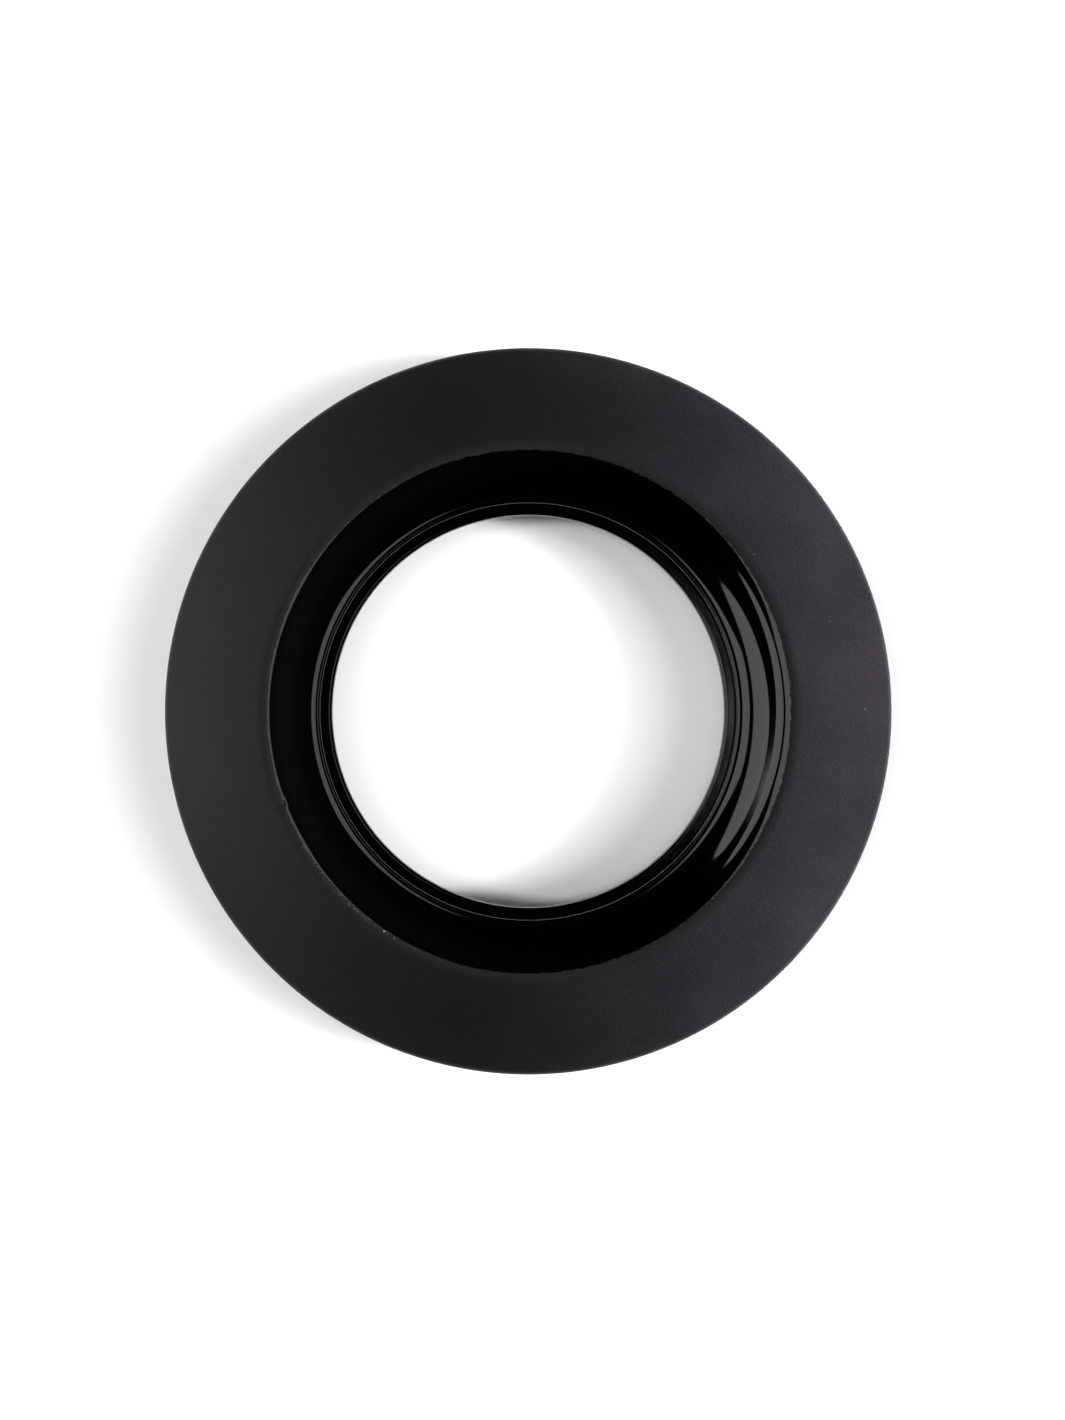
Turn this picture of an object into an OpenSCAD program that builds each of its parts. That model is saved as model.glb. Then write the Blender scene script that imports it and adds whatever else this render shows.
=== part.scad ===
// Wide-rim sink flange of a kitchen garbage disposal, with its three-screw twist-lock mount.
// Millimetres. The origin is on the throat's axis, at the plane the lowest ring stands on. +Z is up.

/* [Throat and rim] */
// Radius of the clear throat at its lip
throat_r = 40; // [39:0.5:40]
// Outside radius of the rim
rim_r = 74; // [74:0.5:78]
// Radius of the rim's highest circle
crest_r = 53.6; // [53.6:0.2:55]
// Wall of the moulded rim
rim_wall = 2.2; // [1.8:0.1:2.4]
// Height of the rim's lower edge over the sink deck
rim_lift = 0.8; // [0.4:0.1:1]

/* [Sleeve] */
// Outside radius of the steel sleeve, which passes an 88.9 mm sink outlet
sleeve_r = 43.4; // [43.2:0.1:43.5]
// Sheet thickness of the steel flange
steel_t = 1; // [0.8:0.1:1]
// Length of the sleeve under the sink deck
sleeve_len = 27; // [26:0.5:27]

/* [Deck] */
// Height of the sink deck over the origin
deck_z = 40; // [40:0.5:44]
// Space left for the sink between the gaskets
deck_gap = 6.5; // [5:0.5:6.5]

/* [Clamp screws] */
// Radius of the circle of clamp screws
screw_circle_r = 62; // [62:0.2:63]
// Outside radius of the screw thread
screw_r = 3.1; // [3:0.05:3.1]
// Length of the screw under its head
screw_len = 18.5; // [17:0.5:18.5]

/* [Twist lock] */
// Turn from locked to released
lock_turn = 28; // [24:1:28]
// Rise of the lower ring over that turn
lock_rise = 4; // [3:0.5:4]
// Gap between a locking tab and its ramp
lock_gap = 0.3; // [0.25:0.05:0.4]

/* [Hidden] */
$fn = 144;
overlap = 0.2;                     // how far joined shapes reach into each other

// rim and throat outline, heights over the deck
edge_round = 1.6;                  // rounding of the rim's outer edge
outer_slope = 29;                  // slope of the matte face at the outer edge
inner_slope = 17;                  // slope of the matte face at the shoulder
shoulder_round = 5.4;              // convex rounding of the shoulder
funnel_slope = 43.5;               // steepest slope of the funnel
funnel_straight = 1.45;            // straight length at that slope
funnel_round = 11.5;               // concave rounding of the funnel
ledge_slope = 20;                  // slope where the funnel meets the ledge
ledge_r = 42.9;                    // radius where the ledge is level and starts to round over
ledge_round = 0.6;                 // rounding of the stopper ledge
ledge_drop = 75;                   // turn of that rounding
step = [42, 1.1];                  // foot of the short wall under the ledge
step_in = 0.45;                    // reach of the level step from the lip's rounding
lip_round = 0.7;                   // rounding of the lip
lip_top = 1;                       // height of the lip
lip_len = 3;                       // straight wall of the lip
tail_in = 0.5;                     // step from the lip to the tail's inside
tail_r = 41.9;                     // outside radius of the tail in the sleeve
tail_end = -7;                     // lower end of the tail
tail_back = [[tail_r, -0.6], [43.3, 1.9], [44.7, 3.3]];   // back of the tail, clear of the steel's bend
foot_in = 0.5;                     // bevel at the rim's lower edge
edge_mid = rim_lift + 0.9;         // height of the edge rounding's centre
dome_from = 90 - outer_slope;
dome_to = 90 - inner_slope;
edge_end = [rim_r - edge_round + edge_round * cos(dome_from), edge_mid + edge_round * sin(dome_from)];
dome_r = (edge_end[0] - crest_r - shoulder_round * cos(dome_to)) / (cos(dome_from) - cos(dome_to));
dome_c = edge_end - dome_r * [cos(dome_from), sin(dome_from)];
shoulder_c = dome_c + (dome_r - shoulder_round) * [cos(dome_to), sin(dome_to)];
funnel_dir = [cos(90 + funnel_slope), sin(90 + funnel_slope)];
funnel_top = shoulder_c + shoulder_round * funnel_dir
    - funnel_straight * [cos(funnel_slope), sin(funnel_slope)];
funnel_c = funnel_top + funnel_round * funnel_dir;
funnel_foot = funnel_c + funnel_round * [cos(ledge_slope - 90), sin(ledge_slope - 90)];
ledge_in = ledge_r - funnel_foot[0];
ledge_z = funnel_foot[1] + ledge_in * tan(ledge_slope) / 2;
ledge_c = [ledge_r, ledge_z - ledge_round];
lip_c = [throat_r + lip_round, lip_top - lip_round];

// heights of the mount, from the deck down
sleeve_z = deck_z - sleeve_len;
fiber_t = 1.6;
fiber_z = deck_z - deck_gap - fiber_t;
backup_t = 2.4;
backup_z = fiber_z - backup_t;
ring_t = 2.6;
ring_z = 20.4;
snap_t = 2.3;
snap_z = ring_z - 0.2 - snap_t;

// steel flange
steel_rim_r = 57;
steel_seat = 2;                    // height of the steel rim's underside over the deck
bend_r = 3;                        // inside bend between rim and sleeve
groove_in = 0.9;                   // depth of the rolled groove
groove_z = snap_z - 0.1;
groove_h = snap_t + 0.2;

// rings
ring_bore_r = 43.8;
skirt_r = 51.3;
skirt_t = 2;
skirt_z = 6.5;
ramp_r = 54.4;
ramp_t = 2;
ramp_z = 12;                       // top of a ramp at its middle
ramp_half = 22;                    // half of a ramp's sweep, degrees
tab_half = 5;                      // half of a tab's sweep, degrees
tab_t = 2.2;
tab_in_r = 52;
wall_in_r = 54.7;
wall_r = 56.3;
wall_top = 17.5;
base_t = 2;
neck_r = 47;
ramp_pitch = lock_rise / lock_turn;          // rise per degree
ramp_tilt = atan(ramp_pitch * 180 / PI / (skirt_r + 1.7));   // at a ramp's middle radius
lug_z = 7;
lug_r = 4.6;
lug_bore_r = 3.4;
lug_end = 68;
lug_root = 0.6;                    // how deep a socket's body reaches into the wall
lug_floor = 57;                    // radius of a socket's floor
screw_angles = [90, 210, 330];
ramp_angles = [30, 150, 270];

black = [0.08, 0.08, 0.09];
rubber = [0.16, 0.16, 0.17];
steel = [0.78, 0.79, 0.80];
zinc = [0.70, 0.71, 0.68];
fiber = [0.42, 0.33, 0.26];

// points along an arc round c, from angle a0 to a1
function arc(c, r, a0, a1, n) =
    [for (i = [0:n]) let (a = a0 + (a1 - a0) * i / n) c + r * [cos(a), sin(a)]];

// a slice of a ring between two angles
module ring_sector(r0, r1, z0, z1, a0, a1) {
    rotate([0, 0, a0]) translate([0, 0, z0]) rotate_extrude(angle = a1 - a0)
        translate([r0, 0]) square([r1 - r0, z1 - z0]);
}

// a flat washer shape
module washer(r0, r1, z0, z1) {
    translate([0, 0, z0]) difference() {
        cylinder(r = r1, h = z1 - z0);
        translate([0, 0, -1]) cylinder(r = r0, h = z1 - z0 + 2);
    }
}

// a slab that climbs round the axis, cut from a ring sector; z is its underside at angle mid
module climbing_slab(r0, r1, z, t, mid, half) {
    rotate([0, 0, mid]) intersection() {
        ring_sector(r0, r1, z - 10, z + 14, -half, half);
        translate([0, 0, z]) rotate([ramp_tilt, 0, 0]) translate([0, -50, 0]) cube([80, 100, t]);
    }
}

// the seen face of the rim and throat, from the outer edge to the lip
function trim_face() = concat(
    arc([rim_r - edge_round, edge_mid], edge_round, 0, dome_from, 8),
    arc(dome_c, dome_r, dome_from, dome_to, 10),
    arc(shoulder_c, shoulder_round, dome_to, 90 + funnel_slope, 14),
    arc(funnel_c, funnel_round, funnel_slope - 90, ledge_slope - 90, 8),
    [for (t = [0.2:0.2:0.8]) funnel_foot + [ledge_in * t, (ledge_z - funnel_foot[1]) * (2 * t - t * t)]],
    arc(ledge_c, ledge_round, 90, 90 + ledge_drop, 6),
    [step, [lip_c[0] + step_in, step[1] - 0.1]],
    arc(lip_c, lip_round, 90, 180, 5)
);

// the back of the moulding, from the tail out to the rim's lower edge
function trim_back() = concat(
    [[throat_r, lip_c[1] - lip_len], [throat_r + tail_in, lip_c[1] - lip_len - tail_in]],
    [[throat_r + tail_in, tail_end], [tail_r, tail_end]], tail_back,
    arc(funnel_c, funnel_round + rim_wall, ledge_slope + 8 - 90, funnel_slope - 90, 6),
    arc(shoulder_c, shoulder_round - rim_wall, 90 + funnel_slope, dome_to, 6),
    arc(dome_c, dome_r - rim_wall, dome_to, dome_from + 1, 8),
    [[rim_r - rim_wall, rim_lift], [rim_r - foot_in, rim_lift], [rim_r, rim_lift + foot_in]]
);

// a stiffening rib under the rim
rib_t = 1.2;
rib_count = 12;
rib_outline = [[58.6, 3.4], [65.4, 3.4], [65.4, 5.4], [58.6, 8]];
module trim_rib() {
    rotate([90, 0, 0]) linear_extrude(height = rib_t, center = true) polygon(rib_outline);
}

// a hook that grips the edge of the steel rim
hook_count = 6;
hook_sweep = 12;
hook_outline = [[57.3, 8], [57.3, 1.8], [56, 1.8], [56, 1.3], [56.8, 0.6], [58.9, 0.6], [58.9, 8]];
module trim_hook() {
    rotate([0, 0, -hook_sweep / 2]) rotate_extrude(angle = hook_sweep) polygon(hook_outline);
}

module flange_trim() {
    color(black) translate([0, 0, deck_z]) union() {
        rotate_extrude() polygon(concat(trim_face(), trim_back()));
        for (i = [0:rib_count - 1]) rotate([0, 0, (i + 0.5) * 360 / rib_count]) trim_rib();
        for (i = [0:hook_count - 1]) rotate([0, 0, i * 360 / hook_count]) trim_hook();
    }
}

// O-ring that lies on the steel rim and touches the funnel's back
seal_r = 1.4;
seal_touch = 0.03;
module throat_seal() {
    seal_mid = steel_seat + steel_t + seal_r + seal_touch;
    reach = funnel_round + rim_wall + seal_r + seal_touch;
    ring_r = funnel_c[0] + sqrt(reach * reach - (funnel_c[1] - seal_mid) * (funnel_c[1] - seal_mid));
    color(rubber) translate([0, 0, deck_z + seal_mid])
        rotate_extrude() translate([ring_r, 0]) circle(r = seal_r, $fn = 48);
}

module steel_flange() {
    bend_c = [sleeve_r + bend_r, steel_seat - bend_r];
    groove_low = groove_z - deck_z;
    in_r = sleeve_r - steel_t;
    color(steel) translate([0, 0, deck_z]) rotate_extrude() polygon(concat(
        [[sleeve_r, -sleeve_len], [sleeve_r, groove_low]],
        [[sleeve_r - groove_in, groove_low + 0.02], [sleeve_r - groove_in, groove_low + groove_h]],
        [[sleeve_r, groove_low + groove_h + 0.02]],
        arc(bend_c, bend_r, 180, 90, 8),
        [[steel_rim_r - 0.3, steel_seat], [steel_rim_r, steel_seat + 0.3]],
        [[steel_rim_r, steel_seat + steel_t - 0.3], [steel_rim_r - 0.3, steel_seat + steel_t]],
        arc(bend_c, bend_r + steel_t, 90, 180, 10),
        [[in_r, groove_low + groove_h + 0.9], [in_r - groove_in, groove_low + groove_h]],
        [[in_r - groove_in, groove_low], [in_r, groove_low - 0.9], [in_r, -sleeve_len]]
    ));
}

gasket_outline = [[44.9, 0], [55, 0], [55, steel_seat], [46.6, steel_seat], [45.4, 1.2]];
module deck_gasket() {
    color(rubber) translate([0, 0, deck_z]) rotate_extrude() polygon(gasket_outline);
}

foam_outline = [[66.4, 0], [70.6, 0], [71, 0.4], [71, 1.4], [66, 3.8], [66, 0.4]];
module rim_seal() {
    color(rubber) translate([0, 0, deck_z]) rotate_extrude() polygon(foam_outline);
}

fiber_in_r = 44.6;
fiber_out_r = 62;
module fiber_gasket() {
    color(fiber) washer(fiber_in_r, fiber_out_r, fiber_z, fiber_z + fiber_t);
}

// pressed ring with a stiffening bead on its underside and a turned-down rim
backup_in_r = 43.9;
backup_out_r = 68;
backup_bead = [[48, 0], [49.4, -1.4], [52.6, -1.4], [54, 0]];
backup_rim = [2, 1.8, 0.8];        // thickness and drop of the turned-down rim, and its bevel
module backup_flange() {
    color(zinc) translate([0, 0, backup_z]) rotate_extrude() polygon(concat(
        [[backup_in_r, 0]], backup_bead,
        [[backup_out_r - backup_rim[0], 0], [backup_out_r - backup_rim[0], -backup_rim[1]]],
        [[backup_out_r, -backup_rim[1]], [backup_out_r, backup_t - backup_rim[2]]],
        [[backup_out_r - backup_rim[2], backup_t], [backup_in_r, backup_t]]
    ));
}

boss_r = 5.6;
boss_low = 18.6;
boss_top = 25;
ear_r = 7;
stop_low = 13.8;                   // the stop at a ramp's high end, heights and angles
stop_top = 18.4;
stop_r = 54;
stop_from = 20.5;
stop_to = 24;
neck_half = 5.9;                   // half width of the web between an ear and the ring
neck_from = 54;                    // radius where that web starts
ring_r = 58;
thread_gap = 0.075;                // radial play between a screw and its hole
ramp_root = 0.6;                   // how deep a stop reaches into the skirt
module mounting_ring() {
    color(zinc) difference() {
        union() {
            washer(ring_bore_r, ring_r, ring_z, ring_z + ring_t);
            washer(skirt_r - skirt_t, skirt_r, skirt_z, ring_z + overlap);
            for (a = screw_angles) rotate([0, 0, a]) {
                translate([screw_circle_r, 0, ring_z]) cylinder(r = ear_r, h = ring_t);
                translate([neck_from, -neck_half, ring_z])
                    cube([screw_circle_r - neck_from, 2 * neck_half, ring_t]);
                translate([screw_circle_r, 0, boss_low]) cylinder(r = boss_r, h = boss_top - boss_low);
            }
            for (a = ramp_angles) {
                mid = a - lock_turn / 2;
                climbing_slab(skirt_r - overlap, ramp_r, ramp_z - ramp_t, ramp_t, mid, ramp_half);
                ring_sector(skirt_r - ramp_root, stop_r, stop_low, stop_top, mid + stop_from, mid + stop_to);
            }
        }
        for (a = screw_angles) rotate([0, 0, a])
            translate([screw_circle_r, 0, boss_low - 1])
                cylinder(r = screw_r + thread_gap, h = boss_top - boss_low + 2);
    }
}

head_t = 3.8;
head_r = 4.9;
head_washer_r = 5.2;
head_washer_t = 1.2;
slot_w = 1.4;
slot_d = 1.8;
point_len = 2;
point_r = 2.2;
module clamp_screw(angle) {
    tip = backup_z - 0.1;
    under = tip - screw_len;
    bottom = under - head_washer_t - head_t;
    color(steel) rotate([0, 0, angle]) translate([screw_circle_r, 0, 0]) difference() {
        union() {
            translate([0, 0, bottom]) cylinder(r = head_r, h = head_t + overlap, $fn = 6);
            translate([0, 0, under - head_washer_t]) cylinder(r = head_washer_r, h = head_washer_t);
            translate([0, 0, under - overlap]) cylinder(r = screw_r, h = screw_len - point_len + overlap);
            translate([0, 0, tip - point_len - overlap]) cylinder(r = point_r, h = point_len + overlap);
        }
        translate([-2 * head_r, -slot_w / 2, bottom - 1]) cube([4 * head_r, slot_w, slot_d + 1]);
    }
}
module clamp_screw_1() { clamp_screw(screw_angles[0]); }
module clamp_screw_2() { clamp_screw(screw_angles[1]); }
module clamp_screw_3() { clamp_screw(screw_angles[2]); }

// split spring ring in the sleeve's groove
snap_sweep = 342;
snap_from = (360 - snap_sweep) / 2;
snap_r = 46.2;
snap_gap = 0.1;                    // play at the foot of the groove
module snap_ring() {
    color(steel) ring_sector(sleeve_r - groove_in + snap_gap, snap_r, snap_z, snap_z + snap_t,
        snap_from, snap_from + snap_sweep);
}

// rubber ring that seals the sleeve's end to the grinder's neck
cushion_top = sleeve_z - 0.2;
cushion_outline = [
    [42.8, 2.8], [43.4, 2.3], [53.8, 2.3], [54.2, 2.7], [54.2, 4.9], [53.8, 5.3], [49, 5.3],
    [48.8, 6], [48.8, 9.6], [48.2, 10.4], [46.4, 10.8], [45.6, cushion_top - 0.4],
    [45.2, cushion_top], [43.2, cushion_top], [42.8, cushion_top - 0.4], [42.8, 8.4],
    [43.8, 7.6], [43.8, 5.8], [42.8, 5]
];
module mount_cushion() {
    color(rubber) rotate_extrude() polygon(cushion_outline);
}

module lower_lock_ring() {
    color(zinc) difference() {
        union() {
            washer(wall_in_r, wall_r, 0, wall_top);
            washer(neck_r, wall_r, 0, base_t);
            for (a = ramp_angles) {
                tab_z = ramp_z + ramp_pitch * lock_turn / 2 + lock_gap;
                climbing_slab(tab_in_r, wall_in_r + overlap, tab_z, tab_t, a, tab_half);
                rotate([0, 0, a]) translate([wall_in_r + lug_root, 0, lug_z]) rotate([0, 90, 0])
                    cylinder(r = lug_r, h = lug_end - wall_in_r - lug_root);
            }
        }
        for (a = ramp_angles) rotate([0, 0, a]) translate([lug_floor, 0, lug_z]) rotate([0, 90, 0])
            cylinder(r = lug_bore_r, h = lug_end - lug_floor + 1);
    }
}

flange_trim();
throat_seal();
steel_flange();
deck_gasket();
rim_seal();
fiber_gasket();
backup_flange();
mounting_ring();
clamp_screw_1();
clamp_screw_2();
clamp_screw_3();
snap_ring();
mount_cushion();
lower_lock_ring();
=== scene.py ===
"""Looks of a wide-rim disposal flange with its twist-lock mount. Metres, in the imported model's frame."""
import math

import bmesh
import bpy
from mathutils import Matrix, Vector


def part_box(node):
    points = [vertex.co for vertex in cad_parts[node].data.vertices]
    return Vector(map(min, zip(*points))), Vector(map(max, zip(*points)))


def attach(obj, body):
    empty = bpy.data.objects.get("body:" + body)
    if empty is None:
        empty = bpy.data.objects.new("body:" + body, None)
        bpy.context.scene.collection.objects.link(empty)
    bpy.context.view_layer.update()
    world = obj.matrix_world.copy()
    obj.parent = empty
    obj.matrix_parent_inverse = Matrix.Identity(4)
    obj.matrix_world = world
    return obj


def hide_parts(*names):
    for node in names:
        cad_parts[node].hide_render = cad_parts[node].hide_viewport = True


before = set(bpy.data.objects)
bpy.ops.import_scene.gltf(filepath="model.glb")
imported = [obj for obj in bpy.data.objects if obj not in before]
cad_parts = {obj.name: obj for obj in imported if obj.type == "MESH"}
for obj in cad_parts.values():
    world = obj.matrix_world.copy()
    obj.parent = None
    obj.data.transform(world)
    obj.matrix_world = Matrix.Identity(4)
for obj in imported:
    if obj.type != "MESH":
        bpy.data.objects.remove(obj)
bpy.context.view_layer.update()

MM = 0.001
SHARP = 35               # degrees: edges over this angle stay sharp


def mm_box(node):
    """A CAD node's box in millimetres."""
    low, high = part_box(node)
    return [v / MM for v in low], [v / MM for v in high]


# heights and radii read from the frame, millimetres
DECK = mm_box("deck_gasket")[0][2]
RIM_R = mm_box("flange_trim")[1][0]
CROWN = mm_box("flange_trim")[1][2]
SLEEVE_Z = mm_box("steel_flange")[0][2]
STEEL_R = mm_box("steel_flange")[1][0]
RING_Z = mm_box("snap_ring")[1][2] + 0.2

# layout, millimetres and degrees
THROAT_R = 40.0
SCREW_CIRCLE = 62.0
SCREW_ANGLES = (90, 210, 330)
LUG_ANGLES = (30, 150, 270)


# ---------------------------------------------------------------- outlines

def arc(centre, radius, start, stop, count):
    """Points round centre from one angle to another, in degrees."""
    turns = [math.radians(start + (stop - start) * i / count) for i in range(count + 1)]
    return [(centre[0] + radius * math.cos(t), centre[1] + radius * math.sin(t)) for t in turns]


def polar(centre, radius, angle):
    """The point at a radius and an angle from centre."""
    turn = math.radians(angle)
    return (centre[0] + radius * math.cos(turn), centre[1] + radius * math.sin(turn))


def rounded(points, radius, count=4):
    """A closed outline with each corner rounded, as far as its edges allow."""
    out = []
    total = len(points)
    for i in range(total):
        before, here, after = (Vector(points[(i + k) % total]) for k in (-1, 0, 1))
        a, b = before - here, after - here
        if a.length < 1e-6 or b.length < 1e-6:
            continue
        turn = a.angle(b)
        if turn > math.radians(172):
            out.append(tuple(here))
            continue
        reach = min(radius / math.tan(turn / 2), 0.45 * a.length, 0.45 * b.length)
        start, stop = here + a.normalized() * reach, here + b.normalized() * reach
        for k in range(count + 1):
            t = k / count
            out.append(tuple((1 - t) ** 2 * start + 2 * t * (1 - t) * here + t ** 2 * stop))
    return out


# ---------------------------------------------------------------- meshes

def new_object(name, bm, sharp=SHARP):
    """A mesh object from bm in millimetres, smooth but for edges over the sharp angle."""
    bmesh.ops.remove_doubles(bm, verts=bm.verts, dist=1e-5)
    bmesh.ops.recalc_face_normals(bm, faces=bm.faces)
    bmesh.ops.scale(bm, vec=(MM, MM, MM), verts=bm.verts)
    mesh = bpy.data.meshes.new(name)
    bm.to_mesh(mesh)
    bm.free()
    mesh.shade_smooth()
    mesh.set_sharp_from_angle(angle=math.radians(sharp))
    obj = bpy.data.objects.new(name, mesh)
    bpy.context.scene.collection.objects.link(obj)
    return obj


def spin(bm, outline, segments, start=0.0, sweep=360.0, shape=None, climb=0.0):
    """Turns a closed (r, z) outline round Z. shape(r, z, angle) may move a point.

    climb raises it by so many millimetres per degree, and leaves its middle where it was.
    """
    whole = abs(sweep - 360) < 1e-6
    rings = []
    for i in range(segments + (0 if whole else 1)):
        angle = start + sweep * i / segments
        c, s = math.cos(math.radians(angle)), math.sin(math.radians(angle))
        ring = []
        for r, z in outline:
            z += climb * (angle - start - sweep / 2)
            if shape:
                r, z = shape(r, z, angle)
            ring.append(bm.verts.new((r * c, r * s, z)))
        rings.append(ring)
    count = len(outline)
    for i in range(segments):
        a, b = rings[i], rings[(i + 1) % len(rings)]
        for k in range(count):
            m = (k + 1) % count
            corners = [a[k], b[k], b[m], a[m]]
            if max(v.co.to_2d().length for v in corners[:2]) < 1e-7:
                corners = [a[k], b[m], a[m]]
            elif max(v.co.to_2d().length for v in corners[2:]) < 1e-7:
                corners = [a[k], b[k], a[m]]
            bm.faces.new(corners)
    if not whole:
        bm.faces.new(rings[0])
        bm.faces.new(list(reversed(rings[-1])))


def lathe(name, outline, segments=360, start=0.0, sweep=360.0, shape=None, climb=0.0, sharp=SHARP):
    """An object made by spin."""
    bm = bmesh.new()
    spin(bm, outline, segments, start, sweep, shape, climb)
    return new_object(name, bm, sharp)


def prism(name, outline, low, high, place):
    """A plate with that outline between two heights, moved by place, in millimetres."""
    bm = bmesh.new()
    bottom = [bm.verts.new((x, y, low)) for x, y in outline]
    top = [bm.verts.new((x, y, high)) for x, y in outline]
    bm.faces.new(list(reversed(bottom)))
    bm.faces.new(top)
    for i in range(len(outline)):
        k = (i + 1) % len(outline)
        bm.faces.new([bottom[i], bottom[k], top[k], top[i]])
    bmesh.ops.transform(bm, matrix=place, verts=bm.verts)
    return new_object(name, bm)


def settle(obj):
    """Applies obj's modifiers to its mesh."""
    graph = bpy.context.evaluated_depsgraph_get()
    mesh = bpy.data.meshes.new_from_object(obj.evaluated_get(graph))
    obj.modifiers.clear()
    obj.data = mesh
    mesh.shade_smooth()
    mesh.set_sharp_from_angle(angle=math.radians(SHARP))


def combine(obj, others, how):
    """Adds or cuts solids with exact booleans, and deletes the others."""
    for other in others:
        step = obj.modifiers.new("step", "BOOLEAN")
        step.operation = how
        step.solver = "EXACT"
        step.object = other
    settle(obj)
    for other in others:
        bpy.data.objects.remove(other)
    return obj


def turned_about(angle, radius):
    """Places a shape made at the origin on a circle round the throat, in millimetres."""
    return Matrix.Rotation(math.radians(angle), 4, "Z") @ Matrix.Translation((radius, 0, 0))


# ---------------------------------------------------------------- material nodes

class Nodes:
    """Short names for building one material's node tree."""

    def __init__(self, name):
        self.mat = bpy.data.materials.new(name)
        self.mat.use_nodes = True
        self.tree = self.mat.node_tree
        self.shader = self.tree.nodes["Principled BSDF"]

    def put(self, socket, value):
        if isinstance(value, bpy.types.NodeSocket):
            self.tree.links.new(value, socket)
        else:
            socket.default_value = value

    def set(self, **values):
        for key, value in values.items():
            self.put(self.shader.inputs[key.replace("_", " ")], value)

    def math(self, op, a, b=0.0, c=0.0, clamp=False):
        n = self.tree.nodes.new("ShaderNodeMath")
        n.operation = op
        n.use_clamp = clamp
        for socket, value in zip(n.inputs, (a, b, c)):
            self.put(socket, value)
        return n.outputs[0]

    def span(self, value, a, b, c=0.0, d=1.0, smooth=False):
        n = self.tree.nodes.new("ShaderNodeMapRange")
        n.interpolation_type = "SMOOTHSTEP" if smooth else "LINEAR"
        for socket, v in zip(n.inputs, (value, a, b, c, d)):
            self.put(socket, v)
        return n.outputs[0]

    def mix(self, factor, a, b):
        n = self.tree.nodes.new("ShaderNodeMix")
        n.data_type = "RGBA"
        self.put(n.inputs["Factor"], factor)
        self.put(n.inputs["A"], a)
        self.put(n.inputs["B"], b)
        return n.outputs["Result"]

    def position(self):
        return self.tree.nodes.new("ShaderNodeTexCoord").outputs["Object"]

    def split(self, vector):
        n = self.tree.nodes.new("ShaderNodeSeparateXYZ")
        self.put(n.inputs[0], vector)
        return n.outputs

    def join(self, x, y, z):
        n = self.tree.nodes.new("ShaderNodeCombineXYZ")
        for socket, value in zip(n.inputs, (x, y, z)):
            self.put(socket, value)
        return n.outputs[0]

    def noise(self, vector, scale, detail=3.0, rough=0.5):
        n = self.tree.nodes.new("ShaderNodeTexNoise")
        self.put(n.inputs["Vector"], vector)
        n.inputs["Scale"].default_value = scale
        n.inputs["Detail"].default_value = detail
        n.inputs["Roughness"].default_value = rough
        return n.outputs["Fac"]

    def cells(self, vector, scale):
        n = self.tree.nodes.new("ShaderNodeTexVoronoi")
        self.put(n.inputs["Vector"], vector)
        n.inputs["Scale"].default_value = scale
        return n.outputs["Distance"]

    def bump(self, height, distance, strength=1.0, under=None):
        n = self.tree.nodes.new("ShaderNodeBump")
        n.inputs["Strength"].default_value = strength
        n.inputs["Distance"].default_value = distance
        self.put(n.inputs["Height"], height)
        if under:
            self.put(n.inputs["Normal"], under)
        return n.outputs[0]

    def rings(self, axial=1.0):
        """(radius, coordinates that vary fast across the lathe's path and slowly along it)."""
        stretch = 0.004
        x, y, z = self.split(self.position())
        squares = self.math("ADD", self.math("MULTIPLY", x, x), self.math("MULTIPLY", y, y))
        radius = self.math("SQRT", squares)
        across = self.math("ADD", radius, self.math("MULTIPLY", z, axial))
        safe = self.math("MAXIMUM", radius, 1e-5)
        return radius, self.join(
            self.math("MULTIPLY", self.math("DIVIDE", x, safe), stretch),
            self.math("MULTIPLY", self.math("DIVIDE", y, safe), stretch), across)


def near(m, value, centre, width):
    """1 at centre, falling to 0 at width away."""
    away = m.math("ABSOLUTE", m.math("SUBTRACT", value, centre))
    return m.span(away, 0.0, width, 1.0, 0.0, smooth=True)


FINISH_R, FINISH_WANDER = 0.0529, 0.00028      # where matte meets gloss, metres
WELD_ANGLES = (104, -93)
WELD_R = 0.048
FLECK_R, FLECK_ANGLE = 0.0531, -130
MATTE_DARK, MATTE_PALE = (0.0010, 0.0009, 0.0011, 1), (0.0020, 0.0018, 0.0021, 1)
GLOSS_BLACK, DUST = (0.0001, 0.0001, 0.0001, 1), (0.09, 0.09, 0.10, 1)


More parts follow.
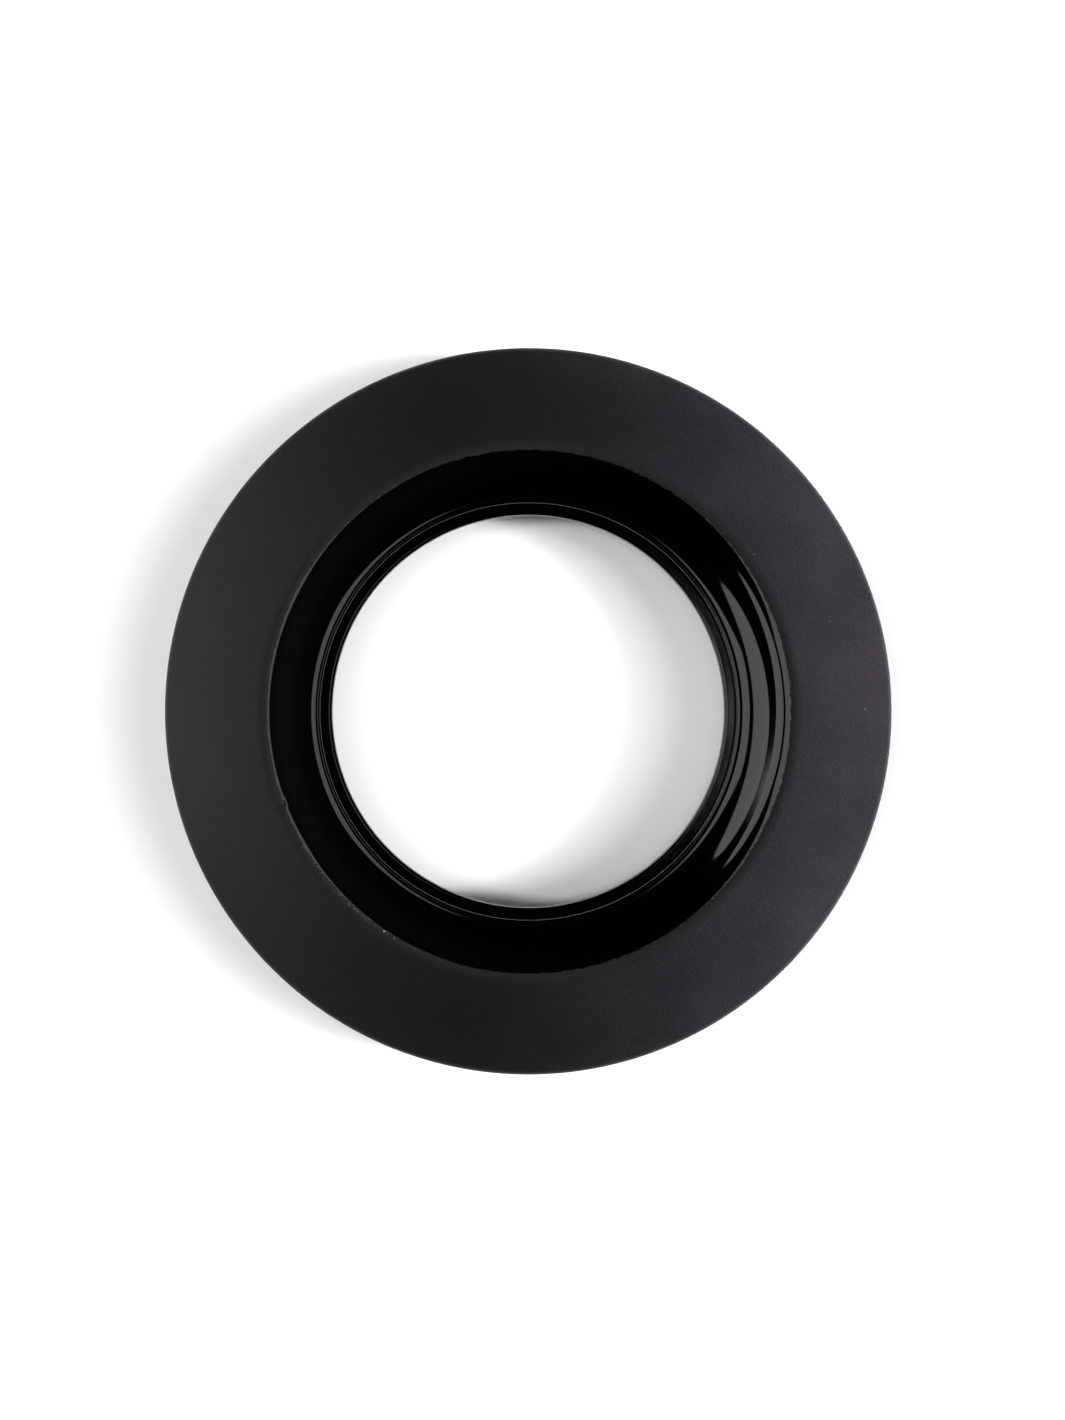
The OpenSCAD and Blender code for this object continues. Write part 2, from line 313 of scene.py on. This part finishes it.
def black_moulding():
    """Black plastic: fine moulded grain on the rim, polished inside the shoulder."""
    m = Nodes("black_moulding")
    place = m.position()
    radius, around = m.rings()
    x, y, z = m.split(place)
    angle = m.math("ARCTAN2", y, x)
    # the finish changes along a slightly wandering line inside the rounded shoulder
    wander = m.span(m.noise(place, 700, 6, 0.8), 0.3, 0.7, -FINISH_WANDER, FINISH_WANDER)
    line = m.math("ADD", wander, FINISH_R)
    outside = m.span(m.math("SUBTRACT", radius, line), -0.00012, 0.00012, smooth=True)
    above = m.span(z, (DECK - 0.2) * MM, DECK * MM)
    matte = m.math("MAXIMUM", outside, m.math("SUBTRACT", 1.0, above))
    polished = m.math("SUBTRACT", 1.0, matte)
    grain = m.noise(place, 2600, 5, 0.65)
    cloud = m.noise(place, 60, 3, 0.5)
    speck = m.span(m.cells(place, 900), 0.0, 0.10, 1.0, 0.0)
    rare = m.span(m.noise(place, 330, 2), 0.64, 0.68)
    specks = m.math("MULTIPLY", m.math("MULTIPLY", speck, rare), matte)
    # torn flecks on the shoulder's edge, over a short stretch
    fleck_r, fleck_turn = near(m, radius, FLECK_R, 0.0005), near(m, angle, math.radians(FLECK_ANGLE), 0.35)
    fleck = m.math("MULTIPLY", fleck_r, fleck_turn)
    flecks = m.math("MULTIPLY", fleck, m.span(m.noise(place, 2200, 3, 0.8), 0.60, 0.66))
    # two faint weld lines where the melt met in the funnel
    first, second = (math.radians(a) for a in WELD_ANGLES)
    seams = m.math("ADD", near(m, angle, first, 0.007), near(m, angle, second, 0.006))
    seams = m.math("MULTIPLY", seams, near(m, radius, WELD_R, 0.004))
    rub = m.span(m.noise(around, 4200, 3, 0.6), 0.45, 0.75)
    gloss_rough = m.math("ADD", m.span(rub, 0.0, 1.0, 0.055, 0.10), m.math("MULTIPLY", seams, 0.12))
    texture = m.math("ADD", m.math("MULTIPLY", grain, 0.5), m.math("MULTIPLY", cloud, 0.5))
    matte_rough = m.span(texture, 0.3, 0.7, 0.5, 0.6)
    rough = m.math("ADD", m.math("MULTIPLY", matte, matte_rough), m.math("MULTIPLY", polished, gloss_rough))
    shade = m.math("ADD", m.math("MULTIPLY", cloud, 0.4), m.math("MULTIPLY", grain, 0.6))
    tint = m.mix(m.span(shade, 0.36, 0.64), MATTE_DARK, MATTE_PALE)
    tint = m.mix(matte, GLOSS_BLACK, tint)
    tint = m.mix(m.math("ADD", m.math("MULTIPLY", specks, 0.35), flecks, clamp=True), tint, DUST)
    skin = m.bump(m.math("MULTIPLY", grain, matte), 0.00011, 0.9)
    skin = m.bump(m.math("MULTIPLY", polished, m.noise(place, 70, 2)), 0.00006, 0.5, skin)
    skin = m.bump(m.math("ADD", m.math("MULTIPLY", seams, -1.0), flecks), 0.00006, 0.6, skin)
    m.set(Base_Color=tint, Roughness=rough, IOR=1.4, Normal=skin)
    return m.mat


def sheet_metal(name, light, dark, rough, marks, patchy=0.5):
    """Bare or plated steel with fine marks round the axis and cloudy patches."""
    m = Nodes(name)
    place = m.position()
    around = m.rings(0.9)[1]
    lines = m.noise(around, 3200, 2, 0.5)
    cloud = m.noise(place, 45, 4, 0.55)
    grit = m.noise(place, 1500, 3, 0.6)
    shade = m.math("ADD", m.math("MULTIPLY", cloud, patchy), m.math("MULTIPLY", lines, 1.0 - patchy))
    tone = m.mix(m.span(shade, 0.32, 0.68), dark + (1,), light + (1,))
    wear = m.math("ADD", m.math("MULTIPLY", lines, 0.6), m.math("MULTIPLY", grit, 0.4))
    gloss = m.span(wear, 0.3, 0.7, rough - 0.07, rough + 0.1)
    skin = m.bump(lines, marks, 0.6)
    skin = m.bump(cloud, 0.00005, 0.2, skin)
    m.set(Base_Color=tone, Metallic=1.0, Roughness=gloss, Normal=skin)
    return m.mat


def rubber(name, tone, rough, cell=0.0):
    """Moulded rubber, or foam where cell is its cell size in metres."""
    m = Nodes(name)
    place = m.position()
    grain = m.noise(place, 1100, 4, 0.6)
    cloud = m.noise(place, 90, 3)
    specks = m.span(m.cells(place, 700), 0.0, 0.09, 1.0, 0.0)
    dust = m.math("MULTIPLY", specks, m.span(m.noise(place, 260, 2), 0.6, 0.66))
    pale = tuple(c * 1.7 + 0.004 for c in tone)
    colour = m.mix(m.span(cloud, 0.35, 0.65), tone + (1,), pale + (1,))
    colour = m.mix(m.math("MULTIPLY", dust, 0.4), colour, (0.2, 0.2, 0.19, 1))
    skin = m.bump(grain, 0.00005, 0.6)
    if cell:
        pores = m.cells(place, 1.0 / cell)
        # the pore hollows are painted darker than the foam: painted shade in the pores
        colour = m.mix(m.span(pores, 0.0, 0.5, 0.6, 0.0), colour, (0.004, 0.004, 0.004, 1))
        skin = m.bump(pores, cell * 0.5, 0.9, skin)
    gloss = m.span(grain, 0.3, 0.7, rough - 0.06, rough + 0.08)
    m.set(Base_Color=colour, Roughness=gloss, Normal=skin)
    return m.mat


def fibre():
    """Pressed fibre sheet: felted strands on the faces and thin layers along the cut edge."""
    m = Nodes("fiber_sheet")
    place = m.position()
    x, y, z = m.split(place)
    strands = m.noise(m.join(m.math("MULTIPLY", x, 0.25), y, z), 1600, 5, 0.7)
    cross = m.noise(m.join(x, m.math("MULTIPLY", y, 0.25), z), 1500, 5, 0.7)
    layers = m.noise(m.join(m.math("MULTIPLY", x, 0.05), m.math("MULTIPLY", y, 0.05), z), 5200, 2)
    woven = m.math("MULTIPLY", m.math("ADD", strands, cross), 0.35)
    felt = m.math("ADD", woven, m.math("MULTIPLY", layers, 0.3))
    cloud = m.noise(place, 55, 3)
    colour = m.mix(m.span(felt, 0.38, 0.62), (0.095, 0.055, 0.036, 1), (0.235, 0.145, 0.095, 1))
    colour = m.mix(m.span(cloud, 0.4, 0.7, 0.0, 0.35), colour, (0.12, 0.085, 0.065, 1))
    gloss = m.span(felt, 0.3, 0.7, 0.72, 0.88)
    m.set(Base_Color=colour, Roughness=gloss, Normal=m.bump(felt, 0.00012, 0.7))
    return m.mat


# sheet_metal takes a light tone, a dark tone, roughness, depth of marks in metres and patchiness
MATERIALS = {
    "black_moulding": black_moulding(),
    "black_rubber": rubber("black_rubber", (0.014, 0.014, 0.015), 0.52),
    "black_foam": rubber("black_foam", (0.018, 0.018, 0.018), 0.86, cell=0.0005),
    "stainless": sheet_metal(
        "stainless", (0.66, 0.655, 0.64), (0.50, 0.495, 0.485), 0.25, 0.000002, 0.65),
    "fiber_sheet": fibre(),
    "zinc_steel": sheet_metal(
        "zinc_steel", (0.60, 0.61, 0.585), (0.42, 0.43, 0.415), 0.34, 0.000006, 0.75),
    "screw_steel": sheet_metal(
        "screw_steel", (0.64, 0.63, 0.59), (0.45, 0.445, 0.42), 0.28, 0.000004, 0.6),
    "spring_steel": sheet_metal(
        "spring_steel", (0.30, 0.30, 0.31), (0.17, 0.17, 0.18), 0.30, 0.000006, 0.5),
}


def dress(piece, body, slot_name, *nodes):
    """Gives a piece its material and its body, and hides the CAD nodes it stands for."""
    piece.data.materials.clear()
    piece.data.materials.append(MATERIALS[slot_name])
    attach(piece, body)
    if nodes:
        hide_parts(*nodes)
    return piece


# ---------------------------------------------------------------- the black moulding

EDGE_ROUND = 1.6
RIM_LIFT = 0.8
OUTER_SLOPE, INNER_SLOPE = 29, 17
CREST_R = 53.6
SHOULDER_ROUND, FUNNEL_SLOPE = 5.4, 43.5
FUNNEL_STRAIGHT, FUNNEL_ROUND = 1.45, 11.5
LEDGE_R, LEDGE_SLOPE = 42.9, 20
LEDGE_ROUND, LEDGE_DROP = 0.6, 75
LIP_ROUND, LIP_TOP, LIP_LEN = 0.7, 1.0, 3.0
STEP_R = 41.9
TAIL_BACK, TAIL_Z = 0.5, DECK - 7
RIM_WALL = 2.2
RIBS, RIB_HALF = 12, 0.6
HOOKS, HOOK_SWEEP = 6, 12
NICK_R, NICK_ANGLE, NICK_DEEP, NICK_REACH = 52.8, 200.2, 0.22, 0.9

edge_c = (RIM_R - EDGE_ROUND, DECK + RIM_LIFT + 0.9)
edge_end = polar(edge_c, EDGE_ROUND, 90 - OUTER_SLOPE)
dome_r = (edge_end[0] - CREST_R - SHOULDER_ROUND * math.cos(math.radians(90 - INNER_SLOPE))) / (
    math.cos(math.radians(90 - OUTER_SLOPE)) - math.cos(math.radians(90 - INNER_SLOPE)))
dome_c = polar(edge_end, -dome_r, 90 - OUTER_SLOPE)
shoulder_c = polar(dome_c, dome_r - SHOULDER_ROUND, 90 - INNER_SLOPE)
funnel_top = polar(polar(shoulder_c, SHOULDER_ROUND, 90 + FUNNEL_SLOPE), FUNNEL_STRAIGHT, 180 + FUNNEL_SLOPE)
funnel_c = polar(funnel_top, FUNNEL_ROUND, 90 + FUNNEL_SLOPE)
funnel_foot = polar(funnel_c, FUNNEL_ROUND, LEDGE_SLOPE - 90)
ledge_z = funnel_foot[1] - (funnel_foot[0] - LEDGE_R) * math.tan(math.radians(LEDGE_SLOPE)) / 2
ledge_c = (LEDGE_R, ledge_z - LEDGE_ROUND)
lip_c = (THROAT_R + LIP_ROUND, DECK + LIP_TOP - LIP_ROUND)


def trim_outline():
    """The moulding's section: the seen face from the rim's edge to the lip, then its back."""
    face = arc(edge_c, EDGE_ROUND, -10, 90 - OUTER_SLOPE, 14)
    face += arc(dome_c, dome_r, 90 - OUTER_SLOPE, 90 - INNER_SLOPE, 40)[1:]
    face += arc(shoulder_c, SHOULDER_ROUND, 90 - INNER_SLOPE, 90 + FUNNEL_SLOPE, 36)[1:]
    face += arc(funnel_c, FUNNEL_ROUND, FUNNEL_SLOPE - 90, LEDGE_SLOPE - 90, 24)
    for i in range(1, 8):
        t = i / 8
        out = funnel_foot[0] + (LEDGE_R - funnel_foot[0]) * t
        face.append((out, funnel_foot[1] + (ledge_z - funnel_foot[1]) * (2 * t - t * t)))
    face += arc(ledge_c, LEDGE_ROUND, 90, 90 + LEDGE_DROP, 14)
    face += [(STEP_R + 0.15, DECK + LIP_TOP + 0.2), (STEP_R, DECK + LIP_TOP), (lip_c[0] + 0.1, DECK + LIP_TOP)]
    face += arc(lip_c, LIP_ROUND, 90, 180, 12)
    lip_low = lip_c[1] - LIP_LEN
    tail = [(THROAT_R, lip_low), (THROAT_R + TAIL_BACK, lip_low - TAIL_BACK), (THROAT_R + TAIL_BACK, TAIL_Z)]
    tail += [(STEP_R, TAIL_Z), (STEP_R, DECK - 0.6), (43.3, DECK + 1.9), (44.7, DECK + 3.3)]
    back = arc(funnel_c, FUNNEL_ROUND + RIM_WALL, LEDGE_SLOPE - 82, FUNNEL_SLOPE - 90, 10)
    back += arc(shoulder_c, SHOULDER_ROUND - RIM_WALL, 90 + FUNNEL_SLOPE, 90 - INNER_SLOPE, 12)
    back += arc(dome_c, dome_r - RIM_WALL, 90 - INNER_SLOPE, 91 - OUTER_SLOPE, 16)[1:]
    foot = [(RIM_R - RIM_WALL, DECK + RIM_LIFT), (RIM_R - 0.6, DECK + RIM_LIFT)]
    return [(r, min(z, CROWN)) for r, z in face + tail + back + foot]


def nick(r, z, angle):
    """A small dent in the shoulder."""
    along = math.radians((angle - NICK_ANGLE + 180) % 360 - 180) * NICK_R
    reach = math.hypot(r - NICK_R, along)
    depth = NICK_DEEP * max(0.0, 1 - reach / NICK_REACH) ** 2 if z > DECK + 8 else 0.0
    return r, z - depth


def make_trim():
    bm = bmesh.new()
    spin(bm, trim_outline(), 480, shape=nick)
    trim = new_object("trim", bm, sharp=40)
    parts = []
    rib = rounded([(58.6, DECK + 3.4), (65.4, DECK + 3.4), (65.4, DECK + 5.4), (58.6, DECK + 8)], 0.5)
    upright = Matrix.Rotation(math.radians(90), 4, "X")
    for i in range(RIBS):
        stand = Matrix.Rotation(math.radians(360 / RIBS * i + 15), 4, "Z") @ upright
        parts.append(prism("rib", rib, -RIB_HALF, RIB_HALF, stand))
    hook = [(57.3, 8), (57.3, 1.8), (56, 1.8), (56, 1.3), (56.8, 0.6), (58.9, 0.6), (58.9, 8)]
    hook = rounded([(r, DECK + z) for r, z in hook], 0.25)
    for i in range(HOOKS):
        parts.append(lathe("hook", hook, 16, 360 / HOOKS * i - HOOK_SWEEP / 2, HOOK_SWEEP))
    return dress(combine(trim, parts, "UNION"), "flange", "black_moulding", "flange_trim")


# ---------------------------------------------------------------- steel flange and seals

def make_steel_flange():
    """Load-bearing rim and sleeve from one sheet, with a rolled groove for the snap ring."""
    sleeve_r, sheet, bend_r, groove, chamfer = 43.4, 1.0, 3, 0.9, 0.3
    bend = (sleeve_r + bend_r, DECK - 1)
    low, high = RING_Z - 2.6, RING_Z - 0.1
    outline = [(sleeve_r, SLEEVE_Z), (sleeve_r, low)] + arc((sleeve_r, low + groove), groove, 270, 180, 5)
    outline += arc((sleeve_r, high - groove), groove, 180, 90, 5) + arc(bend, bend_r, 180, 90, 16)
    outline += arc((STEEL_R - sheet / 2, DECK + 2.5), sheet / 2, -90, 90, 8)
    outline += arc(bend, bend_r + sheet, 90, 180, 18)
    inner = sleeve_r - sheet
    outline += [(inner, high + 1)] + arc((inner, high), groove, 100, 180, 6)
    outline += arc((inner, low), groove, 180, 260, 6)
    outline += [(inner, low - 1), (inner, SLEEVE_Z + chamfer), (inner + chamfer, SLEEVE_Z)]
    return dress(lathe("steel_flange_skin", outline, 360, sharp=50), "flange", "stainless", "steel_flange")


def make_seals():
    """The O-ring, the ribbed rubber gasket and the foam ring."""
    low, high = mm_box("throat_seal")
    seal_r = (high[2] - low[2]) / 2
    ring_r = high[0] - seal_r
    mid = (low[2] + high[2]) / 2
    section = arc((ring_r, mid), seal_r, 0, 360, 28)[:-1]
    dress(lathe("o_ring", section, 360), "flange", "black_rubber", "throat_seal")
    deck = [(44.9, 0), (47, 0), (47.3, 0.3), (47.7, 0.3), (48, 0), (50, 0), (50.3, 0.3), (50.7, 0.3)]
    deck += [(51, 0), (55, 0), (55, 2), (46.6, 2), (45.4, 1.2)]
    deck = rounded([(r, DECK + z) for r, z in deck], 0.25, 3)
    dress(lathe("deck_gasket_skin", deck, 360), "flange", "black_rubber", "deck_gasket")
    foam = rounded([(r, DECK + z) for r, z in [(66.2, 0), (70.8, 0), (71, 1.4), (66, 3.8)]], 0.6, 5)
    dress(lathe("rim_seal_skin", foam, 480), "flange", "black_foam", "rim_seal")


def make_clamp():
    """The fibre gasket and the pressed ring under it."""
    low, high = mm_box("fiber_gasket")
    sheet = rounded([(44.6, low[2]), (high[0], low[2]), (high[0], high[2]), (44.6, high[2])], 0.15, 3)
    dress(lathe("fiber_gasket_skin", sheet, 360), "clamp", "fiber_sheet", "fiber_gasket")
    top = mm_box("backup_flange")[1][2]
    plate = top - 2.4
    outline = [(43.9, plate), (48, plate), (49.4, plate - 1.4), (52.6, plate - 1.4), (54, plate), (66, plate)]
    outline += [(66, plate - 1.8), (68, plate - 1.8), (68, top), (43.9, top)]
    dress(lathe("backup_flange_skin", rounded(outline, 0.7, 6), 480), "clamp", "zinc_steel", "backup_flange")


# ---------------------------------------------------------------- mounting ring

EAR_R, EAR_ROOT = 7.0, 53.0
RING_T = 2.6
RING_R = 58.0
BOSS_R, BOSS_LOW, BOSS_HIGH = 5.6, 18.6, 25
HOLE_R = 3.22
RAMP_CLIMB = 1 / 7       # millimetres per degree, on the ramps and on the lower ring's tabs
RAMP_BACK, RAMP_SWEEP = 36, 44
STOP_AT, STOP_SWEEP = 6.5, 3.5


def ear_reach(angle):
    """How far the ring's edge stands out at an angle: round ears, blended into the ring."""
    best = RING_R
    for a in SCREW_ANGLES:
        off = math.radians((angle - a + 180) % 360 - 180)
        side = SCREW_CIRCLE * math.sin(off)
        if abs(off) < 1 and abs(side) < EAR_R:
            best = max(best, SCREW_CIRCLE * math.cos(off) + math.sqrt(EAR_R ** 2 - side ** 2))
        elif abs(off) < 1:
            best = max(best, RING_R + 3.2 * max(0.0, 1 - (abs(side) - EAR_R) / 3.0) ** 2)
    return best


def eared(r, z, angle):
    """Stretches the ring's outer part out to its ears."""
    blend = min(max((r - EAR_ROOT) / (RING_R - EAR_ROOT), 0.0), 1.0)
    return r + (ear_reach(angle) - RING_R) * blend, z


def make_mounting_ring():
    """The eared ring with its skirt, threaded bosses, locking ramps and stops."""
    top = RING_Z + RING_T
    outline = [(43.8, RING_Z), (49.3, RING_Z), (49.3, 6.5), (51.3, 6.5), (51.3, RING_Z), (RING_R, RING_Z)]
    outline += [(RING_R, top), (43.8, top)]
    ring = lathe("mounting_ring_skin", rounded(outline, 0.5, 4), 360, shape=eared)
    adds, cuts = [], []
    for a in SCREW_ANGLES:
        boss = rounded([(0.0, BOSS_LOW), (BOSS_R, BOSS_LOW), (BOSS_R, BOSS_HIGH), (0.0, BOSS_HIGH)], 0.5)
        boss = [(0.0, BOSS_LOW)] + [p for p in boss if p[0] > 1] + [(0.0, BOSS_HIGH)]
        adds.append(standing("boss", boss, 64, a))
        hole = [(0.0, BOSS_LOW - 2.6), (HOLE_R, BOSS_LOW - 2.6), (HOLE_R, BOSS_HIGH + 3), (0.0, BOSS_HIGH + 3)]
        cuts.append(standing("hole", hole, 64, a))
    for a in LUG_ANGLES:
        ramp = rounded([(51.1, 10), (54.4, 10), (54.4, 12), (51.1, 12)], 0.3)
        adds.append(lathe("ramp", ramp, 60, a - RAMP_BACK, RAMP_SWEEP, climb=RAMP_CLIMB))
        stop = rounded([(50.9, 13.8), (54.0, 13.8), (54.0, 18.4), (50.9, 18.4)], 0.4)
        adds.append(lathe("stop", stop, 6, a + STOP_AT, STOP_SWEEP))
    combine(ring, adds, "UNION")
    combine(ring, cuts, "DIFFERENCE")
    return dress(ring, "mounting_ring", "zinc_steel", "mounting_ring")


def standing(name, outline, segments, angle, shape=None):
    """A turned shape on its own upright axis on the screw circle."""
    bm = bmesh.new()
    spin(bm, outline, segments, shape=shape)
    bmesh.ops.transform(bm, matrix=turned_about(angle, SCREW_CIRCLE), verts=bm.verts)
    return new_object(name, bm)


# ---------------------------------------------------------------- clamp screws

PITCH = 1.27
THREAD_R, CORE_R = 3.1, 2.5
HEAD_R = 4.9
HEAD_FLATS = HEAD_R * math.cos(math.radians(30))
SLOT_HALF, SLOT_DEEP = 0.7, 1.8


def make_screw(number, angle):
    """A slotted hexagon screw with a washer face and a helical thread."""
    low, high = mm_box(f"clamp_screw_{number}")
    bottom, tip = low[2], high[2]
    flange_low, under = bottom + 3.8, bottom + 5.0
    thread_low, thread_high = under + 0.4, tip - 2.3

    def form(r, z, a):
        """The hexagon below the washer, the thread above it."""
        if z < flange_low - 0.01 and r > 1:
            flats = HEAD_FLATS / math.cos(math.radians((a + 30) % 60 - 30))
            return min(flats, HEAD_FLATS + (z - bottom) * 1.6 + 0.1), z
        if r == THREAD_R:
            phase = (z / PITCH - a / 360) % 1
            tooth = min(1.0, max(0.0, 1.35 - 2.9 * abs(phase - 0.5)))
            fade = min(1.0, (z - thread_low) / 1.0 + 0.15, (thread_high - z) / 0.8)
            return CORE_R + (THREAD_R - CORE_R) * tooth * max(0.0, fade), z
        return r, z

    steps = int((thread_high - thread_low) / PITCH * 12)
    rise = (thread_high - thread_low) / steps
    outline = [(0.0, bottom), (2.5, bottom)]
    outline += [(HEAD_R, bottom + h) for h in (0.0, 0.15, 0.3, 0.45, 0.6, 2.2, 3.75)]
    outline += [(HEAD_R, flange_low), (5.1, flange_low + 0.1), (5.2, flange_low + 0.3), (5.2, under - 0.2)]
    outline += [(5.0, under), (3.3, under), (2.9, under + 0.2)]
    outline += [(THREAD_R, thread_low + rise * i) for i in range(steps + 1)]
    outline += [(2.3, thread_high + 0.15), (2.2, tip - 2.0), (2.2, tip - 0.4), (1.8, tip), (0.0, tip)]
    screw = standing("screw_blank", outline, 72, angle, shape=form)
    bar = [(-8, -SLOT_HALF), (8, -SLOT_HALF), (8, SLOT_HALF), (-8, SLOT_HALF)]
    slot = prism("slot", bar, bottom - 1, bottom + SLOT_DEEP, turned_about(angle, SCREW_CIRCLE))
    combine(screw, [slot], "DIFFERENCE")
    screw.name = f"screw_{number}_skin"
    return dress(screw, f"screw_{number}", "screw_steel", f"clamp_screw_{number}")


# ---------------------------------------------------------------- snap ring, cushion, lower ring

TAB_SWEEP = 10
LUG_Z = 7


def make_snap_ring():
    """A spring ring, split by a gap of 18 degrees."""
    low, high = mm_box("snap_ring")
    gap = 18
    section = rounded([(42.6, low[2]), (46.2, low[2]), (46.2, high[2]), (42.6, high[2])], 0.55, 5)
    ring = lathe("snap_ring_skin", section, 300, gap / 2, 360 - gap)
    return dress(ring, "flange", "spring_steel", "snap_ring")


def make_cushion():
    """The rubber ring between the sleeve's end and the grinder's neck."""
    top = SLEEVE_Z - 0.2
    outline = [(42.8, 2.8), (43.4, 2.3), (53.8, 2.3), (54.2, 2.7), (54.2, 4.9), (53.8, 5.3), (49, 5.3)]
    outline += [(48.8, 6), (48.8, 9.6), (48.2, 10.4), (46.4, 10.8), (45.6, top - 0.4), (45.2, top)]
    outline += [(43.2, top), (42.8, top - 0.4), (42.8, 8.4), (43.8, 7.6), (43.8, 5.8), (42.8, 5)]
    cushion = lathe("cushion_skin", rounded(outline, 0.5, 5), 360)
    return dress(cushion, "cushion", "black_rubber", "mount_cushion")


def make_lower_ring():
    """The twist ring, with three tabs and three wrench sockets."""
    top = mm_box("lower_lock_ring")[1][2]
    outline = [(47, 0), (56.3, 0), (56.3, top), (54.7, top), (54.7, 2), (47, 2)]
    ring = lathe("lower_ring_skin", rounded(outline, 0.7, 6), 480)
    adds = []
    for a in LUG_ANGLES:
        tab = rounded([(52, 14.3), (54.9, 14.3), (54.9, 16.5), (52, 16.5)], 0.4)
        adds.append(lathe("tab", tab, 14, a - TAB_SWEEP / 2, TAB_SWEEP, climb=RAMP_CLIMB))
        tube = [(0.0, 55.4), (5.3, 55.4), (5.3, 56.3), (4.75, 56.9), (4.6, 57.6), (4.6, 67.6), (4.3, 68)]
        tube += [(3.7, 68), (3.4, 67.6), (3.4, 57.4), (3.0, 57), (0.0, 57)]
        bm = bmesh.new()
        spin(bm, tube, 64)
        raised = Matrix.Translation((0, 0, LUG_Z)) @ Matrix.Rotation(math.radians(90), 4, "Y")
        bmesh.ops.transform(bm, matrix=Matrix.Rotation(math.radians(a), 4, "Z") @ raised, verts=bm.verts)
        adds.append(new_object("lug", bm))
    combine(ring, adds, "UNION")
    return dress(ring, "lock_ring", "zinc_steel", "lower_lock_ring")


trim_piece = make_trim()
make_steel_flange()
make_seals()
make_clamp()
make_mounting_ring()
for index, place_angle in enumerate(SCREW_ANGLES):
    make_screw(index + 1, place_angle)
make_snap_ring()
make_cushion()
make_lower_ring()


# ---------------------------------------------------------------- floor, lights, camera

def make_floor():
    """A white table, and a white room round it that only the camera sees.

    The frame's other views clip at about 10 m, so they miss the room and show the dark world past the table.
    """
    table_r, room_r, gap = 1900, 20000, 0.0002
    bm = bmesh.new()
    bmesh.ops.create_circle(bm, cap_ends=True, segments=96, radius=table_r)
    floor = new_object("floor", bm)
    m = Nodes("floor_white")
    m.set(Base_Color=(0.86, 0.86, 0.865, 1), Roughness=0.9, Specular_IOR_Level=0.1)
    floor.data.materials.append(m.mat)
    floor.location.z = -gap
    bm = bmesh.new()
    bmesh.ops.create_icosphere(bm, subdivisions=4, radius=room_r)
    room = new_object("room", bm)
    m = Nodes("room_white")
    m.set(Base_Color=(0, 0, 0, 1), Specular_IOR_Level=0.0)
    m.set(Emission_Color=(1, 1, 1, 1), Emission_Strength=1.0)
    room.data.materials.append(m.mat)
    room.visible_diffuse = room.visible_glossy = False
    room.visible_transmission = room.visible_shadow = False


def softbox(name, azimuth, elevation, distance, width, height, power,
            glossy=True, only=None, shape="RECTANGLE", roll=0):
    """An area light that faces the part. Azimuth is from +X, and roll turns it about its own axis.

    Without glossy it is mirrored in nothing, and only limits it to one piece.
    """
    a, e = math.radians(azimuth), math.radians(elevation)
    light = bpy.data.lights.new(name, "AREA")
    light.shape = shape
    light.size, light.size_y = width, height
    light.energy = power
    light.color = (1, 0.96, 1) if glossy else (1, 1, 1)
    lamp = bpy.data.objects.new(name, light)
    target = Vector((0, 0, DECK * MM))
    away = Vector((math.cos(a) * math.cos(e), math.sin(a) * math.cos(e), math.sin(e)))
    lamp.location = target + distance * away
    aim = (target - lamp.location).to_track_quat("-Z", "Y").to_matrix()
    lamp.rotation_euler = (aim @ Matrix.Rotation(math.radians(roll), 3, "Z")).to_euler()
    lamp.visible_glossy = glossy
    if only:
        lit = bpy.data.collections.new(name)
        lit.objects.link(only)
        lamp.light_linking.receiver_collection = lit
    bpy.context.scene.collection.objects.link(lamp)


def make_lights(trim):
    """Three keys for the shadows, three lights that are mirrored, and one low light for the black rim."""
    softbox("key_right", -5, 70, 5, 0.26, 1.76, 128, glossy=False)
    softbox("key_low", -5, 59, 5, 0.26, 1.32, 112, glossy=False)
    softbox("second_left", 178, 82, 5, 0.26, 1.47, 97, glossy=False)
    softbox("bank_left", 176, 28, 1.3, 1.7, 0.86, 10, shape="ELLIPSE", roll=15)
    softbox("strip_left", 180, 70, 1.7, 0.6, 0.85, 4.4)
    softbox("strip_right", 0, 77, 1.7, 0.7, 0.5, 2.6)
    softbox("low_right", 0, 3, 1.3, 0.8, 0.1, 1020, glossy=False, only=trim)
    world = bpy.data.worlds.new("studio")
    world.use_nodes = True
    world.node_tree.nodes["Background"].inputs["Color"].default_value = (1, 1, 1, 1)
    world.node_tree.nodes["Background"].inputs["Strength"].default_value = 0.008
    bpy.context.scene.world = world


def make_camera():
    """Straight down but for under a degree, with the part a little off the middle of the picture."""
    frame_width, distance = 0.2169, 0.95
    camera = bpy.data.cameras.new("camera")
    camera.sensor_fit = "HORIZONTAL"
    camera.sensor_width = 24
    camera.lens = camera.sensor_width * distance / frame_width
    camera.clip_end = 50
    eye = bpy.data.objects.new("camera", camera)
    aim = Vector((0.0008, 0.0003, edge_c[1] * MM))
    lean = Vector((-0.012, 0.005, 1)).normalized()
    eye.location = aim + distance * lean
    across = Vector((1, 0, 0)).cross(-lean).normalized()
    eye.rotation_euler = Matrix((across.cross(lean), across, lean)).transposed().to_euler()
    bpy.context.scene.collection.objects.link(eye)
    bpy.context.scene.camera = eye


make_floor()
make_lights(trim_piece)
make_camera()
bpy.context.scene.view_settings.view_transform = "Standard"
